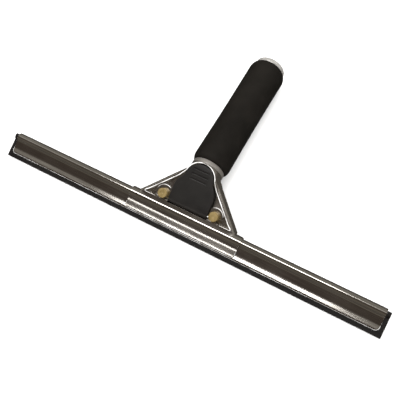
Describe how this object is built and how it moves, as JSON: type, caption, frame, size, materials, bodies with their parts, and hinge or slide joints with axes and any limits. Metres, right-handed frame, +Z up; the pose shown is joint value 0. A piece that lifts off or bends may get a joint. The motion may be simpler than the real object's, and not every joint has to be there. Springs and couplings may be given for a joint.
{
  "type": "window cleaning squeegee",
  "caption": "Window squeegee: steel channel with a rubber blade, fan-shaped quick-release head with a cam lever, and a bent-back round rubber grip with a pole socket.",
  "frame": {"origin": "on the table under the middle of the squeegee as it lies lever side up", "axes": "+X along the blade, +Y from the blade towards the handle's end, +Z up"},
  "size_m": [0.357, 0.1788, 0.0369],
  "materials": {
    "cast_steel": "polished cast stainless steel",
    "polished_steel": "polished stainless sheet",
    "satin_steel": "satin",
    "screw_steel": "dull",
    "tube_aluminium": "satin",
    "grip_rubber": "matte, finely grained",
    "liner_nylon": "matte",
    "brass": "turned brass",
    "pin_steel": "polished",
    "spring_steel": "drawn wire and strip",
    "lever_plastic": "satin moulded",
    "blade_rubber": "smooth cured rubber"
  },
  "bodies": {
    "head": {"head_casting": "cast_steel", "upper_jaw": "polished_steel", "jaw_screws": "screw_steel", "back_cover": "satin_steel", "cover_screws": "screw_steel", "neck_collar": "satin_steel", "handle_tube": "tube_aluminium", "tube_pin": "screw_steel", "rubber_grip": "grip_rubber", "socket_liner": "liner_nylon", "end_cap": "polished_steel"},
    "lower_jaw": {"lower_jaw": "polished_steel", "left_post": "brass", "right_post": "brass", "cross_pin": "pin_steel", "post_washers": "satin_steel", "post_nuts": "brass", "left_spring": "spring_steel", "right_spring": "spring_steel"},
    "lever": {"release_lever": "lever_plastic"},
    "blade": {"channel": "polished_steel", "rubber_blade": "blade_rubber", "left_clip": "spring_steel", "right_clip": "spring_steel"}
  },
  "joints": [
    {"name": "jaw_slide", "type": "slide", "parent": "head", "child": "lower_jaw", "axis": [0, 0.4598, -0.888], "range_m": [0, 0.001], "deforming": ["left_spring", "right_spring"]},
    {"name": "lever_hinge", "type": "hinge", "parent": "lower_jaw", "child": "lever", "pos_m": [0, -0.06473, 0.01393], "axis": [1, 0, 0], "range_deg": [0, 70]},
    {"name": "blade_slide", "type": "slide", "parent": "head", "child": "blade", "axis": [1, 0, 0], "range_m": [-0.12, 0.12]}
  ],
  "couplings": [
    {"joint": "lever_hinge", "follows": "jaw_slide", "rad_per_m": 1221.7}
  ]
}
